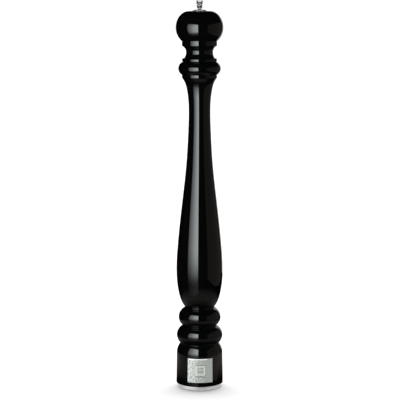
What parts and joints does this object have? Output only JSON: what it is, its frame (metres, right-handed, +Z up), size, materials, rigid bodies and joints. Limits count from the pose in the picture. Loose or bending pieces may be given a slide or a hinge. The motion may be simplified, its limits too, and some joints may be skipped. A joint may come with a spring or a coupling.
{
  "type": "pepper mill",
  "caption": "Tall turned pepper mill with a lacquered wooden body, a ball-shaped head that turns the steel grinder, a metal knob, and a setting ring under the foot.",
  "frame": {"origin": "centre of the mill's resting face, on its axis", "axes": "+Z up along the mill's axis, label towards -Y"},
  "size_m": [0.0968, 0.0969, 0.8],
  "materials": {
    "black_lacquer": "deep gloss black lacquer over turned beech; bare beech inside the bores",
    "polished_chrome": "polished",
    "satin_aluminium": "satin, fine turning marks",
    "plain_steel": "cold-drawn steel, fine lengthwise grain",
    "screw_steel": "zinc-plated",
    "grinder_steel": "case-hardened, dark satin",
    "spring_steel": "drawn spring wire, slight blue",
    "brass": "turned",
    "black_plastic": "moulded, fine grain",
    "white_plastic": "moulded acetal",
    "label_foil": null
  },
  "bodies": {
    "body": {"mill_body": "black_lacquer", "grinder_housing": "black_plastic", "housing_screws": "screw_steel", "female_grinder": "grinder_steel", "shaft_bridge": "plain_steel", "bridge_bush": "brass", "bridge_screws": "screw_steel", "retaining_ring": "spring_steel", "glide_washer": "black_plastic", "detent_ball": "grinder_steel", "detent_spring": "spring_steel", "label": "label_foil"},
    "shaft": {"drive_shaft": "plain_steel", "thrust_washer": "plain_steel", "shaft_clip": "spring_steel"},
    "head": {"head": "black_lacquer", "drive_plate": "plain_steel", "drive_plate_screws": "screw_steel"},
    "knob_washer": {"knob_washer": "polished_chrome"},
    "knob": {"knob": "polished_chrome"},
    "male_grinder": {"male_grinder": "grinder_steel", "grinder_spring": "spring_steel"},
    "adjust_ring": {"adjust_ring": "satin_aluminium", "cam_ring": "white_plastic"},
    "lift_bridge": {"lift_bridge": "plain_steel", "thrust_button": "grinder_steel"}
  },
  "joints": [
    {"name": "head_spin", "type": "hinge", "parent": "body", "child": "shaft", "pos_m": [0, 0, 0.066], "axis": [0, 0, 1], "continuous": true},
    {"name": "head_lift", "type": "slide", "parent": "shaft", "child": "head", "axis": [0, 0, 1], "range_m": [0, 0.15]},
    {"name": "knob_rise", "type": "slide", "parent": "head", "child": "knob_washer", "axis": [0, 0, 1], "range_m": [0, 0.0136]},
    {"name": "knob_turn", "type": "hinge", "parent": "knob_washer", "child": "knob", "pos_m": [0, 0, 0.7804], "axis": [0, 0, 1], "range_deg": [0, 6120]},
    {"name": "adjust_turn", "type": "hinge", "parent": "body", "child": "adjust_ring", "pos_m": [0, 0, 0], "axis": [0, 0, 1], "range_deg": [0, 150]},
    {"name": "bridge_lift", "type": "slide", "parent": "body", "child": "lift_bridge", "axis": [0, 0, 1], "range_m": [0, 0.0015]},
    {"name": "grinder_lift", "type": "slide", "parent": "shaft", "child": "male_grinder", "axis": [0, 0, 1], "range_m": [0, 0.0015], "deforming": ["grinder_spring"]}
  ],
  "couplings": [
    {"joint": "knob_turn", "follows": "knob_rise", "rad_per_m": 7854},
    {"joint": "bridge_lift", "follows": "adjust_turn", "m_per_rad": 0.00057295},
    {"joint": "grinder_lift", "follows": "adjust_turn", "m_per_rad": 0.00057295}
  ]
}
